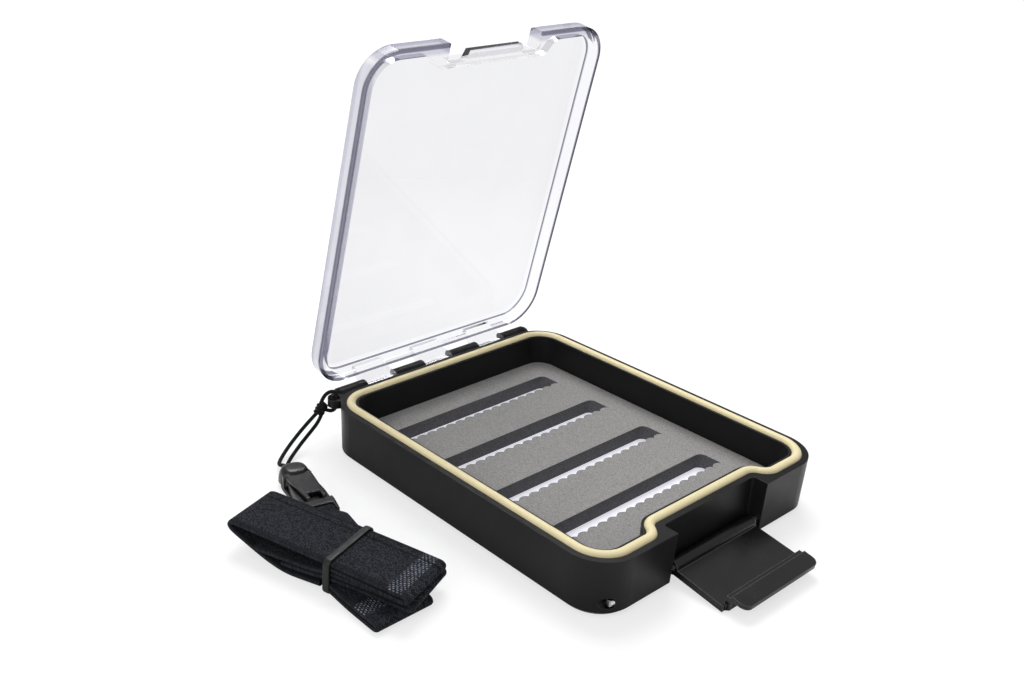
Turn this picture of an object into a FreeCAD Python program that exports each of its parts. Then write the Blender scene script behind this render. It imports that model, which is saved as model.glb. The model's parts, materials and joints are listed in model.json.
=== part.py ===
import FreeCAD, Part
import math
import os
import types
import Sketcher

# Waterproof fly box with a clear hinged lid, a swing latch, a foam insert and a clipped lanyard.
# Frame: origin at the centre of the tray's underside, +X right, +Y toward the hinge, +Z up.
# The lid stands open and the latch lies down on the floor, as the box is photographed.

SIZES = {
    # tray
    "case_width": 104,
    "case_length": 120,
    "rim_height": 18,
    "corner_radius": 12.5,
    "side_draft": 0.8,
    "base_chamfer": 1.6,
    "floor_thickness": 2,
    "rim_width": 5.8,
    "recess_width": 42.6,
    "recess_depth": 5,
    "recess_round": 1,
    # seal
    "seal_inset": 3.5,
    "seal_bend_radius": 5,
    "seal_width": 3,
    "seal_height": 2.9,
    "seal_chamfer": 0.9,
    "groove_depth": 1.8,
    "groove_clearance": 0.05,
    # hinge
    "hinge_offset": 2.9,
    "hinge_drop": 2.4,
    "tray_knuckle_radius": 2.8,
    "lid_knuckle_radius": 2.6,
    "knuckle_dome": 2,
    "knuckle_clearance": 0.15,
    "knuckle_inset": 5.6,
    "knuckle_outer_length": 13.4,
    "knuckle_inner_end": 19.8,
    "knuckle_inner_start": 6.6,
    "web_height": 1.6,
    "web_foot": 3,
    "pin_radius": 1,
    "pin_clearance": 0.03,
    "pin_end_cover": 3,
    # lid
    "lid_thickness": 5.8,
    "lid_plate": 2,
    "lid_wall": 3.2,
    "lid_round": 1.5,
    "lid_clearance": 0.15,
    "notch_width": 40.6,
    "notch_depth": 6.6,
    "notch_round": 1.5,
    "catch_reach": 3.5,
    "catch_height": 2.2,
    "catch_root_width": 26,
    "catch_tip_width": 23,
    "arm_root": 4.6,
    "lid_open_angle": 78,
    # latch
    "latch_height": 4.6,
    "latch_offset": 2.5,
    "latch_width": 37.6,
    "latch_barrel_radius": 2.2,
    "latch_plate": 2,
    "latch_plate_set": 0.2,
    "latch_reach": 17.8,
    "hook_gap": 0.25,
    "hook_reach": 2.8,
    "lip_width": 35,
    "lip_thickness": 1.4,
    "lip_reach": 23.6,
    "lip_step": 0.8,
    "ridge_width": 1.4,
    "lip_round": 2.5,
    "latch_open_angle": 99,
    "latch_pin_inset": 8,
    "latch_pin_show": 1.5,
    "latch_pin_end": 27,
    "pin_access_radius": 1.7,
    # lanyard lug
    "lug_radius": 2.9,
    "lug_thickness": 2.8,
    "lug_top": 17.6,
    "lug_hole_radius": 1.3,
    "lug_side_inset": 4.1,
    "lug_back_inset": 0.5,
    # foam insert
    "sheet_thickness": 0.6,
    "foam_thickness": 5,
    "foam_gap": 0.3,
    "slot_row_margin": 26.4,
    "slot_width": 8,
    "slot_end_margin": 31,
    "slot_back_margin": 24.3,
    "slot_round": 2.5,
    "scallop_depth": 1.1,
    # lanyard cord and buckle
    "cord_radius": 0.65,
    "knot_radius": 2,
    "knot_length": 3.9,
    "buckle_width": 9.6,
    "buckle_height": 5.6,
    "buckle_shell": 1.3,
    "socket_length": 21,
    "socket_head": 6,
    "socket_end_width": 6.4,
    "socket_slot": 2.6,
    "socket_bar": 1.5,
    "socket_cheek": 1.05,
    "bridge_width": 6,
    "bridge_root": 8.6,
    "bridge_notch": 3.1,
    "bridge_notch_width": 4.2,
    "head_chamfer": 0.7,
    "buckle_clearance": 0.2,
    "plug_length": 7.2,
    "plug_flange": 1.8,
    "plug_bar": 1.6,
    "plug_slot": 2.4,
    "prong_length": 13,
    "prong_width": 1.6,
    "barb_reach": 0.7,
    "tongue_width": 2.8,
    "tongue_length": 9,
    # folded strap
    "strap_width": 20,
    "strap_thickness": 1.5,
    "bundle_length": 61,
    "layer_fit": 0.05,
    "strap_rest": 0.1,
    "fold_spacing": 1.75,
    "crease_reach": 0.9,
    "crease_height": 1.9,
    "lift_reach": 9,
    "lift_height": 4.2,
    "floor_reach": 22,
    "fold_length": 25,
    "fold_start": 25.4,
    "fold_tuck": 16,
    "tail_length": 24,
    "tail_start": 1.5,
    "tied_length": 5,
    "tied_slope": 7,
    "tie_width": 2.2,
    "tie_thickness": 0.7,
    "tie_distance": 36,
    "tie_slack": 1.5,
    "tie_gap": 0.3,
    "tie_margin": 2.8,
    "loop_width": 6.4,
    "loop_thickness": 1.2,
    "loop_reach": 15.1,
    "loop_level": 7,
    "loop_drop": 0.85,
    "loop_tail": 4.8,
    # cutting overrun
    "overrun": 1,
}

SLOT_COUNT = 4
SCALLOP_COUNT = 17
LEFT = 1
RIGHT = -1
CORD_SIDES = 6
KNOT_TURNS = 3
DOME_SHARE = 0.3
RUN_SHARE = 0.45
VOLUME_SHARE = 0.02
CREASE_SHARE = 0.25
TINY = 1e-4


class Size:
    """A length known both as a number and as the expression over the sheet that gives it."""

    def __init__(self, text, value):
        self.text = text
        self.value = value

    def __add__(self, other):
        other = as_size(other)
        return Size(f"({self.text} + {other.text})", self.value + other.value)

    def __sub__(self, other):
        other = as_size(other)
        return Size(f"({self.text} - {other.text})", self.value - other.value)

    def __mul__(self, other):
        other = as_size(other)
        return Size(f"({self.text} * {other.text})", self.value * other.value)

    def __truediv__(self, other):
        other = as_size(other)
        return Size(f"({self.text} / {other.text})", self.value / other.value)

    def __neg__(self):
        return Size(f"(0 - {self.text})", -self.value)

    __radd__ = __add__
    __rmul__ = __mul__


def as_size(value):
    return value if isinstance(value, Size) else Size(repr(value), float(value))


def root(size):
    return Size(f"sqrt({size.text})", math.sqrt(size.value))


ZERO = as_size(0)

doc = FreeCAD.newDocument("fly_box")
sheet = doc.addObject("Spreadsheet::Sheet", "Sizes")
for row, (alias, value) in enumerate(SIZES.items(), 1):
    sheet.set(f"A{row}", alias.replace("_", " "))
    sheet.set(f"B{row}", str(value))
    sheet.setAlias(f"B{row}", alias)
doc.recompute()
s = types.SimpleNamespace(**{alias: Size(f"Sizes.{alias}", float(sheet.get(alias))) for alias in SIZES})

# Places that several pieces share
half_width = s.case_width / 2
half_length = s.case_length / 2
hinge_y = half_length + s.hinge_offset
hinge_z = s.rim_height - s.hinge_drop
latch_y = s.latch_offset - half_length
seal_top = s.rim_height - s.groove_depth + s.seal_height
lid_face = seal_top + s.lid_clearance
bore_radius = s.pin_radius + s.pin_clearance
knuckle_outer_end = half_width - s.knuckle_inset
knuckle_outer_start = knuckle_outer_end - s.knuckle_outer_length
latch_pin_start = half_width - s.latch_pin_inset
lug_x = s.lug_side_inset - half_width
lug_y = half_length - s.lug_back_inset


def new_body(name):
    body = doc.addObject("PartDesign::Body", name)
    body.Label = name
    return body


def new_sketch(body, name, plane, offset=ZERO):
    """A sketch on one of the body's own planes, moved along the plane's normal by offset."""
    sketch = body.newObject("Sketcher::SketchObject", name)
    for feature in body.Origin.OriginFeatures:
        if feature.Role == plane:
            sketch.AttachmentSupport = (feature, [""])
    sketch.MapMode = "FlatFace"
    sketch.setExpression("AttachmentOffset.Base.z", offset.text)
    return sketch


def add_rules(sketch, rules, ties):
    """Add the constraints and tie those that carry a size to the sheet."""
    first = sketch.ConstraintCount
    sketch.addConstraint(rules)
    for number, size in ties:
        sketch.setExpression(f"Constraints[{first + number}]", size.text)


def fix_point(rules, ties, edge, end, x, y):
    ties.append((len(rules), x))
    rules.append(Sketcher.Constraint("DistanceX", -1, 1, edge, end, x.value))
    ties.append((len(rules), y))
    rules.append(Sketcher.Constraint("DistanceY", -1, 1, edge, end, y.value))


def trace(sketch, path):
    """Draw a closed outline and fix its corners and radii.

    A step (x, y) starts a straight edge, and (x, y, radius, turn) starts an arc that
    bends left or right on its way to the next corner.
    """
    base = sketch.GeometryCount
    edges = []
    heads = []
    tails = []
    for here, there in zip(path, path[1:] + path[:1]):
        start = FreeCAD.Vector(here[0].value, here[1].value, 0)
        end = FreeCAD.Vector(there[0].value, there[1].value, 0)
        if len(here) == 2:
            edges.append(Part.LineSegment(start, end))
            heads.append(1)
            tails.append(2)
            continue
        radius, turn = here[2].value, here[3]
        chord = end - start
        rise = math.sqrt(max(radius ** 2 - chord.Length ** 2 / 4, 0))
        side = FreeCAD.Vector(-chord.y, chord.x, 0).normalize() * turn
        circle = Part.Circle((start + end) * 0.5 + side * rise, FreeCAD.Vector(0, 0, 1), radius)
        first, last = (start, end) if turn == LEFT else (end, start)
        from_angle = circle.parameter(first)
        to_angle = circle.parameter(last)
        if to_angle < from_angle:
            to_angle += 2 * math.pi
        edges.append(Part.ArcOfCircle(circle, from_angle, to_angle))
        heads.append(1 if turn == LEFT else 2)
        tails.append(2 if turn == LEFT else 1)
    sketch.addGeometry(edges, False)
    rules = []
    ties = []
    for number, step in enumerate(path):
        after = (number + 1) % len(path)
        rules.append(Sketcher.Constraint("Coincident", base + number, tails[number], base + after,
                                         heads[after]))
        fix_point(rules, ties, base + number, heads[number], step[0], step[1])
        if len(step) > 2:
            ties.append((len(rules), step[2]))
            rules.append(Sketcher.Constraint("Radius", base + number, step[2].value))
    add_rules(sketch, rules, ties)


def ring(sketch, x, y, radius):
    """Draw a full circle and fix its centre and radius."""
    number = sketch.GeometryCount
    centre = FreeCAD.Vector(x.value, y.value, 0)
    sketch.addGeometry(Part.Circle(centre, FreeCAD.Vector(0, 0, 1), radius.value), False)
    rules = []
    ties = []
    fix_point(rules, ties, number, 3, x, y)
    ties.append((len(rules), radius))
    rules.append(Sketcher.Constraint("Radius", number, radius.value))
    add_rules(sketch, rules, ties)


def pad(body, sketch, length):
    feature = body.newObject("PartDesign::Pad", sketch.Name + "_pad")
    feature.Profile = sketch
    feature.setExpression("Length", length.text)
    doc.recompute()
    return feature


def pocket(body, sketch, length):
    """Cut against the sketch's normal, and make sure that something was cut."""
    before = body.Shape.Volume
    feature = body.newObject("PartDesign::Pocket", sketch.Name + "_cut")
    feature.Profile = sketch
    feature.setExpression("Length", length.text)
    doc.recompute()
    if not body.Shape.Volume < before:
        raise RuntimeError(f"{feature.Name} cuts nothing")
    return feature


def dress_edges(kind, body, name, base, wanted, size):
    """Fillet or chamfer the edges of the base feature that the wanted test picks."""
    names = [f"Edge{number}" for number, edge in enumerate(base.Shape.Edges, 1) if wanted(edge)]
    feature = body.newObject(f"PartDesign::{kind}", name)
    feature.Base = (base, names)
    feature.setExpression("Radius" if kind == "Fillet" else "Size", size.text)
    doc.recompute()
    return feature


def lies_at_height(edge, height):
    box = edge.BoundBox
    return math.isclose(box.ZMin, height, abs_tol=TINY) and math.isclose(box.ZMax, height, abs_tol=TINY)


def rounded_rectangle(half_x, half_y, radius, drop=ZERO):
    """Outline of the case, counter-clockwise from the front left; drop moves it toward -Y."""
    front = -half_y - drop
    back = half_y - drop
    return [
        (radius - half_x, front),
        (half_x - radius, front, radius, LEFT),
        (half_x, front + radius),
        (half_x, back - radius, radius, LEFT),
        (half_x - radius, back),
        (radius - half_x, back, radius, LEFT),
        (-half_x, back - radius),
        (-half_x, front + radius, radius, LEFT),
    ]


def seal_outline(inset, drop=ZERO):
    """Outline at a given inset from the outer face that turns in behind the latch recess.

    Two tangent arcs on each side of the recess lead it back to the front wall. Their
    centres stay, and their radii grow and shrink with the inset, so that every outline
    of this family runs parallel to the seal.
    """
    half_x = half_width - inset
    front = inset - half_length - drop
    back = half_length - inset - drop
    radius = s.corner_radius - inset
    shift = inset - s.seal_inset
    near = s.seal_bend_radius + shift
    far = s.seal_bend_radius - shift
    bend_x = s.recess_width / 2
    span = root(4 * s.seal_bend_radius * s.recess_depth - s.recess_depth * s.recess_depth)
    side_share = span / (2 * s.seal_bend_radius)
    rise_share = as_size(1) - s.recess_depth / (2 * s.seal_bend_radius)
    near_centre = s.seal_inset - half_length - drop + s.recess_depth - s.seal_bend_radius
    touch_x = bend_x + near * side_share
    touch_y = near_centre + near * rise_share
    inner = front + s.recess_depth
    far_x = bend_x + span
    return [
        (-bend_x, inner),
        (bend_x, inner, near, RIGHT),
        (touch_x, touch_y, far, LEFT),
        (far_x, front),
        (half_x - radius, front, radius, LEFT),
        (half_x, front + radius),
        (half_x, back - radius, radius, LEFT),
        (half_x - radius, back),
        (radius - half_x, back, radius, LEFT),
        (-half_x, back - radius),
        (-half_x, front + radius, radius, LEFT),
        (radius - half_x, front),
        (-far_x, front, far, LEFT),
        (-touch_x, touch_y, near, RIGHT),
    ]


def mirrored(body, name, originals):
    """Repeat features on the other side of the case's middle plane."""
    feature = body.newObject("PartDesign::Mirrored", name)
    feature.Originals = originals
    for plane in body.Origin.OriginFeatures:
        if plane.Role == "YZ_Plane":
            feature.MirrorPlane = (plane, [""])
    body.Tip = feature
    doc.recompute()
    return feature


def make_tray():
    """Black moulded tray: drafted walls, latch recess, cavity, seal groove, knuckles and lug."""
    body = new_body("case_tray")
    base_sketch = new_sketch(body, "tray_base", "XY_Plane")
    trace(base_sketch, rounded_rectangle(half_width - s.side_draft, half_length - s.side_draft,
                                         s.corner_radius - s.side_draft))
    shell = pad(body, base_sketch, s.rim_height)
    shell.setExpression("TaperAngle", f"atan({s.side_draft.text} / {s.rim_height.text})")
    doc.recompute()
    dress_edges("Chamfer", body, "tray_base_edge", shell, lambda edge: lies_at_height(edge, 0),
                s.base_chamfer)

    recess = new_sketch(body, "latch_recess", "XY_Plane", s.rim_height + s.overrun)
    side = s.recess_width / 2
    wall = s.recess_depth - half_length
    mouth = -half_length - s.overrun
    trace(recess, [(-side, mouth), (side, mouth), (side, wall - s.recess_round, s.recess_round, LEFT),
                   (side - s.recess_round, wall), (s.recess_round - side, wall, s.recess_round, LEFT),
                   (-side, wall - s.recess_round)])
    pocket(body, recess, s.rim_height + 2 * s.overrun)

    cavity = new_sketch(body, "cavity", "XY_Plane", s.rim_height + s.overrun)
    trace(cavity, seal_outline(s.rim_width))
    pocket(body, cavity, s.rim_height + s.overrun - s.floor_thickness)

    groove_half = s.seal_width / 2 + s.groove_clearance
    groove = new_sketch(body, "seal_groove", "XY_Plane", s.rim_height + s.overrun)
    trace(groove, seal_outline(s.seal_inset - groove_half))
    trace(groove, seal_outline(s.seal_inset + groove_half))
    pocket(body, groove, s.groove_depth + s.overrun)

    spans = ((s.knuckle_inner_start, s.knuckle_inner_end), (knuckle_outer_start, knuckle_outer_end))
    barrels = new_sketch(body, "tray_knuckles", "XY_Plane", hinge_z)
    rim = hinge_y + s.tray_knuckle_radius
    inner_start, inner_end = spans[0]
    outer_start, outer_end = spans[1]
    trace(barrels, [(inner_start, hinge_y), (inner_end, hinge_y), (inner_end, rim), (inner_start, rim)])
    trace(barrels, [(outer_start, hinge_y), (outer_end, hinge_y),
                    (outer_end, rim - s.knuckle_dome),
                    (outer_end - s.knuckle_dome * DOME_SHARE, rim - s.knuckle_dome * DOME_SHARE),
                    (outer_end - s.knuckle_dome, rim), (outer_start, rim)])
    turned = body.newObject("PartDesign::Revolution", "tray_barrels")
    turned.Profile = barrels
    turned.ReferenceAxis = (barrels, ["Edge1"])
    turned.Angle = 360
    doc.recompute()
    webs = []
    inside = half_length - s.side_draft - s.overrun
    for number, (start, end) in enumerate(spans, 1):
        web = new_sketch(body, f"knuckle_web_{number}", "YZ_Plane", start)
        trace(web, [(inside, hinge_z - s.tray_knuckle_radius - s.web_foot),
                    (half_length, hinge_z - s.tray_knuckle_radius - s.web_foot),
                    (hinge_y, hinge_z - s.tray_knuckle_radius),
                    (hinge_y, hinge_z + s.web_height), (inside, hinge_z + s.web_height)])
        webs.append(pad(body, web, end - start - (s.knuckle_dome if number == 2 else ZERO)))
    mirrored(body, "tray_hinge_pair", [turned] + webs)

    bore = new_sketch(body, "hinge_bore", "YZ_Plane", knuckle_outer_end + s.overrun)
    ring(bore, hinge_y, hinge_z, bore_radius)
    pocket(body, bore, 2 * knuckle_outer_end + s.overrun - s.pin_end_cover)

    access = new_sketch(body, "pin_access", "YZ_Plane", -latch_pin_start)
    ring(access, latch_y, s.latch_height, s.pin_access_radius)
    pocket(body, access, half_width)
    latch_bore = new_sketch(body, "latch_bore", "YZ_Plane", s.latch_pin_end)
    ring(latch_bore, latch_y, s.latch_height, bore_radius)
    pocket(body, latch_bore, s.latch_pin_end + latch_pin_start + s.overrun)

    lug = new_sketch(body, "lanyard_lug", "XY_Plane", s.lug_top - s.lug_thickness)
    ring(lug, lug_x, lug_y, s.lug_radius)
    pad(body, lug, s.lug_thickness)
    eye = new_sketch(body, "lug_eye", "XY_Plane", s.lug_top + s.overrun)
    ring(eye, lug_x, lug_y, s.lug_hole_radius)
    pocket(body, eye, s.lug_thickness + 2 * s.overrun)
    return body


def make_gasket():
    """Cream seal: a rounded cord moulded to the groove, proud of the rim."""
    body = new_body("gasket")
    outline = new_sketch(body, "gasket_ring", "XY_Plane", s.rim_height - s.groove_depth)
    trace(outline, seal_outline(s.seal_inset - s.seal_width / 2))
    trace(outline, seal_outline(s.seal_inset + s.seal_width / 2))
    block = pad(body, outline, s.seal_height)
    dress_edges("Chamfer", body, "gasket_crown", block, lambda edge: lies_at_height(edge, seal_top.value),
                s.seal_chamfer)
    return body


def make_foam():
    """Grey foam insert with four scalloped slots, shaped to the cavity."""
    body = new_body("foam_insert")
    bottom = s.floor_thickness + s.sheet_thickness
    outline = new_sketch(body, "foam_outline", "XY_Plane", bottom)
    trace(outline, seal_outline(s.rim_width + s.foam_gap))
    pad(body, outline, s.foam_thickness)
    slot = new_sketch(body, "foam_slot", "XY_Plane", bottom + s.foam_thickness + s.overrun)
    length = s.case_width - s.slot_end_margin
    half = length / 2
    pitch = length / SCALLOP_COUNT
    front = half_length - s.slot_back_margin
    back = front + s.slot_width
    bump_radius = (pitch * pitch / 4 + s.scallop_depth * s.scallop_depth) / (2 * s.scallop_depth)
    path = [(pitch * number - half, front, bump_radius, RIGHT) for number in range(SCALLOP_COUNT)]
    path.append((half, front))
    path.append((half, back - s.slot_round, s.slot_round, LEFT))
    path.append((half - s.slot_round, back))
    path.append((s.slot_round - half, back, s.slot_round, LEFT))
    path.append((-half, back - s.slot_round))
    trace(slot, path)
    cut = pocket(body, slot, s.foam_thickness + 2 * s.overrun)
    row = body.newObject("PartDesign::LinearPattern", "foam_slot_row")
    row.Originals = [cut]
    row.Direction = (slot, ["V_Axis"])
    row.Reversed = True
    row.setExpression("Length", ((s.case_length - s.slot_row_margin) / SLOT_COUNT * (SLOT_COUNT - 1)).text)
    row.Occurrences = SLOT_COUNT
    body.Tip = row
    doc.recompute()
    return body


def make_base_sheet():
    """White backing sheet of the foam, seen through the slots."""
    body = new_body("base_sheet")
    outline = new_sketch(body, "sheet_outline", "XY_Plane", s.floor_thickness)
    trace(outline, seal_outline(s.rim_width + s.foam_gap))
    pad(body, outline, s.sheet_thickness)
    return body


def make_lid():
    """Clear lid, drawn closed about its hinge axis and then swung open.

    The plate and its wall follow the tray's rim. A notch at the front lets the latch pass,
    and a catch bar stands in it for the latch's hook.
    """
    body = new_body("lid")
    face = lid_face - hinge_z
    top = face + s.lid_thickness
    outline = new_sketch(body, "lid_outline", "XY_Plane", face)
    trace(outline, rounded_rectangle(half_width, half_length, s.corner_radius, hinge_y))
    block = pad(body, outline, s.lid_thickness)
    dress_edges("Fillet", body, "lid_top_round", block, lambda edge: lies_at_height(edge, top.value),
                s.lid_round)

    notch = new_sketch(body, "latch_notch", "XY_Plane", top + s.overrun)
    front = -half_length - hinge_y
    side = s.notch_width / 2
    wall = front + s.notch_depth
    trace(notch, [(-side, front - s.overrun), (side, front - s.overrun),
                  (side, wall - s.notch_round, s.notch_round, LEFT), (side - s.notch_round, wall),
                  (s.notch_round - side, wall, s.notch_round, LEFT), (-side, wall - s.notch_round)])
    pocket(body, notch, s.lid_thickness + 2 * s.overrun)

    hollow = new_sketch(body, "lid_hollow", "XY_Plane", top - s.lid_plate)
    trace(hollow, seal_outline(s.lid_wall, hinge_y))
    pocket(body, hollow, s.lid_thickness - s.lid_plate + s.overrun)

    catch = new_sketch(body, "catch_bar", "XY_Plane", face)
    root_half = s.catch_root_width / 2
    tip_half = s.catch_tip_width / 2
    embed = s.notch_depth - s.recess_depth
    trace(catch, [(-tip_half, wall - s.catch_reach), (tip_half, wall - s.catch_reach), (root_half, wall),
                  (root_half, wall + embed), (-root_half, wall + embed), (-root_half, wall)])
    pad(body, catch, s.catch_height)

    gap = s.knuckle_clearance
    spans = ((s.knuckle_inner_end + gap, knuckle_outer_start - gap),
             (gap - s.knuckle_inner_start, s.knuckle_inner_start - gap),
             (gap - knuckle_outer_start, -s.knuckle_inner_end - gap))
    radius = s.lid_knuckle_radius
    back = -s.hinge_offset
    for number, (start, end) in enumerate(spans, 1):
        barrel = new_sketch(body, f"lid_knuckle_{number}", "YZ_Plane", start)
        ring(barrel, ZERO, ZERO, radius)
        pad(body, barrel, end - start)
        arm = new_sketch(body, f"lid_arm_{number}", "YZ_Plane", start)
        trace(arm, [(-radius, ZERO), (radius - s.pin_radius, s.pin_radius),
                    (back + s.lid_round, face + s.arm_root),
                    (back - s.lid_round, face + s.arm_root), (back - s.lid_round, face), (-radius, face)])
        pad(body, arm, end - start)
    bore = new_sketch(body, "lid_bore", "YZ_Plane", knuckle_outer_start)
    ring(bore, ZERO, ZERO, bore_radius)
    pocket(body, bore, 2 * knuckle_outer_start)

    body.setExpression("Placement.Base.y", hinge_y.text)
    body.setExpression("Placement.Base.z", hinge_z.text)
    body.Placement.Rotation = FreeCAD.Rotation(FreeCAD.Vector(-1, 0, 0), s.lid_open_angle.value)
    return body


def make_latch():
    """Black latch, drawn closed about its pin and then swung down to the floor.

    In the sketches y is the way toward the case and z the way up along the plate.
    """
    body = new_body("latch")
    half = s.latch_width / 2
    outer = s.latch_plate_set - s.latch_plate
    hook = lid_face + s.catch_height + s.hook_gap - s.latch_height
    barrel = new_sketch(body, "latch_barrel", "YZ_Plane", -half)
    ring(barrel, ZERO, ZERO, s.latch_barrel_radius)
    pad(body, barrel, s.latch_width)
    plate = new_sketch(body, "latch_plate_profile", "YZ_Plane", -half)
    trace(plate, [(outer, ZERO), (s.latch_plate_set, ZERO), (s.latch_plate_set, s.latch_reach),
                  (outer, s.latch_reach)])
    pad(body, plate, s.latch_width)
    lip = new_sketch(body, "latch_lip", "YZ_Plane", -s.lip_width / 2)
    tip = s.latch_plate_set + s.hook_reach
    lip_face = tip + s.lip_step
    ridge = hook + s.ridge_width
    trace(lip, [(outer, hook - s.hook_reach), (s.latch_plate_set, hook - s.hook_reach),
                (s.latch_plate_set, hook), (tip, hook), (tip, ridge), (lip_face, ridge),
                (lip_face - s.latch_plate_set, s.lip_reach),
                (lip_face - s.latch_plate_set - s.lip_thickness, s.lip_reach),
                (lip_face - s.lip_thickness, hook + s.latch_plate),
                (s.latch_plate_set - s.latch_plate / 2, hook + s.latch_plate), (outer, s.latch_reach)])
    lip_pad = pad(body, lip, s.lip_width)

    def is_lip_corner(edge):
        box = edge.BoundBox
        at_tip = box.ZMin > s.lip_reach.value - s.pin_clearance.value
        return at_tip and box.XLength < s.pin_clearance.value

    dress_edges("Fillet", body, "lip_corners", lip_pad, is_lip_corner, s.lip_round)
    bore = new_sketch(body, "latch_pin_bore", "YZ_Plane", half + s.overrun)
    ring(bore, ZERO, ZERO, bore_radius)
    pocket(body, bore, s.latch_width + 2 * s.overrun)
    body.setExpression("Placement.Base.y", latch_y.text)
    body.setExpression("Placement.Base.z", s.latch_height.text)
    body.Placement.Rotation = FreeCAD.Rotation(FreeCAD.Vector(1, 0, 0), s.latch_open_angle.value)
    return body


def make_pin(name, start, end, y, z):
    """Steel pin along X from start to end."""
    pin = doc.addObject("Part::Cylinder", name)
    pin.Label = name
    pin.setExpression("Radius", s.pin_radius.text)
    pin.setExpression("Height", (end - start).text)
    pin.Placement.Rotation = FreeCAD.Rotation(FreeCAD.Vector(0, 1, 0), 90)
    pin.setExpression("Placement.Base.x", start.text)
    pin.setExpression("Placement.Base.y", y.text)
    pin.setExpression("Placement.Base.z", z.text)
    return pin


def bent_path(points, radii):
    """Straight runs joined by a tangent arc at each inner point."""
    edges = []
    last = points[0]
    for number in range(1, len(points) - 1):
        corner = points[number]
        before = (corner - points[number - 1]).normalize()
        after = (points[number + 1] - corner).normalize()
        half_turn = before.getAngle(after) / 2
        reach = radii[number - 1] * math.tan(half_turn)
        inward = (after - before).normalize()
        start = corner - before * reach
        end = corner + after * reach
        middle = corner + inward * radii[number - 1] * (1 / math.cos(half_turn) - 1)
        edges.append(Part.LineSegment(last, start).toShape())
        edges.append(Part.Arc(start, middle, end).toShape())
        last = end
    edges.append(Part.LineSegment(last, points[-1]).toShape())
    return Part.Wire(edges)


def cord_radii(points):
    """The largest arc that each pair of runs leaves room for."""
    radii = []
    for before, corner, after in zip(points, points[1:], points[2:]):
        shorter = min((corner - before).Length, (after - corner).Length)
        turn = (corner - before).getAngle(after - corner)
        radii.append(RUN_SHARE * shorter / math.tan(turn / 2))
    return radii


def sweep(path, profile, area):
    """A solid of constant section along the path, with its volume compared."""
    shape = path.makePipeShell([profile], True, False)
    expected = area * path.Length
    if abs(shape.Volume - expected) > VOLUME_SHARE * expected:
        raise RuntimeError(f"swept volume {shape.Volume:.1f} is not {expected:.1f}")
    return shape


def add_feature(name, shape, placement=None):
    feature = doc.addObject("Part::Feature", name)
    feature.Label = name
    feature.Shape = shape
    if placement is not None:
        feature.Placement = placement
    return feature


def make_cord(name, route):
    """Thin cord along a route of points, printed with its length and bend radii."""
    points = [FreeCAD.Vector(*point) for point in route]
    radii = cord_radii(points)
    path = bent_path(points, radii)
    turn = FreeCAD.Rotation(FreeCAD.Vector(0, 0, 1), points[1] - points[0])
    corners = []
    for number in range(CORD_SIDES):
        angle = 2 * math.pi * number / CORD_SIDES
        spoke = FreeCAD.Vector(math.cos(angle), math.sin(angle), 0) * s.cord_radius.value
        corners.append(points[0] + turn.multVec(spoke))
    profile = Part.makePolygon(corners + corners[:1])
    shape = sweep(path, profile, Part.Face(profile).Area)
    print(name, "length", round(path.Length, 1), "bend radii", [round(value, 1) for value in radii])
    return add_feature(name, shape)


# Route of the short cord loop through the lug, from the knot and back to it
EYE_ROUTE = [
    (-52.0, 62.9, 14.6), (-50.6, 63.4, 16.9), (-48.7, 62.3, 18.9), (-47.6, 60.3, 19.3), (-47.9, 59.4, 17.3),
    (-47.9, 59.3, 15.0), (-48.6, 59.4, 13.3), (-50.3, 60.1, 12.9), (-51.5, 61.6, 13.6),
]

# Route of the long cord loop, from the knot round the bar of the socket and back to the knot
BUCKLE_ROUTE = [
    (-52.9, 62.9, 12.4), (-56.0, 63.8, 9.3), (-59.4, 64.6, 5.8), (-64.1, 63.7, 2.9), (-68.1, 61.7, 1.5),
    (-71.1, 59.4, 1.2), (-73.3, 56.4, 2.2), (-73.85, 52.7, 3.9), (-74.2, 48.6, 5.5), (-74.25, 46.95, 3.2),
    (-73.95, 47.3, 1.2), (-73.3, 49.75, 0.85), (-72.55, 52.25, 0.9), (-71.2, 54.9, 0.95),
    (-69.2, 57.4, 0.9),
    (-65.4, 59.9, 1.4), (-60.7, 61.9, 3.2), (-56.0, 62.4, 6.3), (-53.6, 61.4, 9.7), (-52.3, 61.5, 12.3),
]

KNOT_CENTRE = (-52.4, 62.3, 13.3)
KNOT_HEADING = (-0.45, 0.1, -0.89)
BUCKLE_MOUTH = (-77.7, 29.4, 0)
BUCKLE_HEADING = -101.8
BUNDLE_END = (-100.35, 32.95, 0)
BUNDLE_HEADING = -72.7
FOLD_SWING = 4
TAIL_SWING = -17


def make_knot():
    """Overhand knot: turns of cord pulled tight round both strands."""
    radius = s.knot_radius.value
    step = s.knot_length.value / KNOT_TURNS
    neck = radius - s.cord_radius.value / 2
    foot = -s.knot_length.value / 2
    outline = [(0, foot), (neck, foot)]
    for number in range(KNOT_TURNS):
        outline.append((radius, foot + step * (number + 1 / 2)))
        outline.append((neck, foot + step * (number + 1)))
    outline.append((0, -foot))
    corners = [FreeCAD.Vector(x, 0, z) for x, z in outline]
    face = Part.Face(Part.makePolygon(corners + corners[:1]))
    solid = face.revolve(FreeCAD.Vector(0, 0, 0), FreeCAD.Vector(0, 0, 1), 360)
    heading = FreeCAD.Rotation(FreeCAD.Vector(0, 0, 1), FreeCAD.Vector(*KNOT_HEADING))
    return add_feature("cord_knot", solid, FreeCAD.Placement(FreeCAD.Vector(*KNOT_CENTRE), heading))


def set_in_plan(body, place, heading):
    body.Placement = FreeCAD.Placement(FreeCAD.Vector(*place),
                                       FreeCAD.Rotation(FreeCAD.Vector(0, 0, 1), heading))


def bulge_radius(run, rise):
    """Radius of an arc that leaves a line without a corner and drops by rise over run."""
    return (run * run + rise * rise) / (2 * rise)


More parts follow.
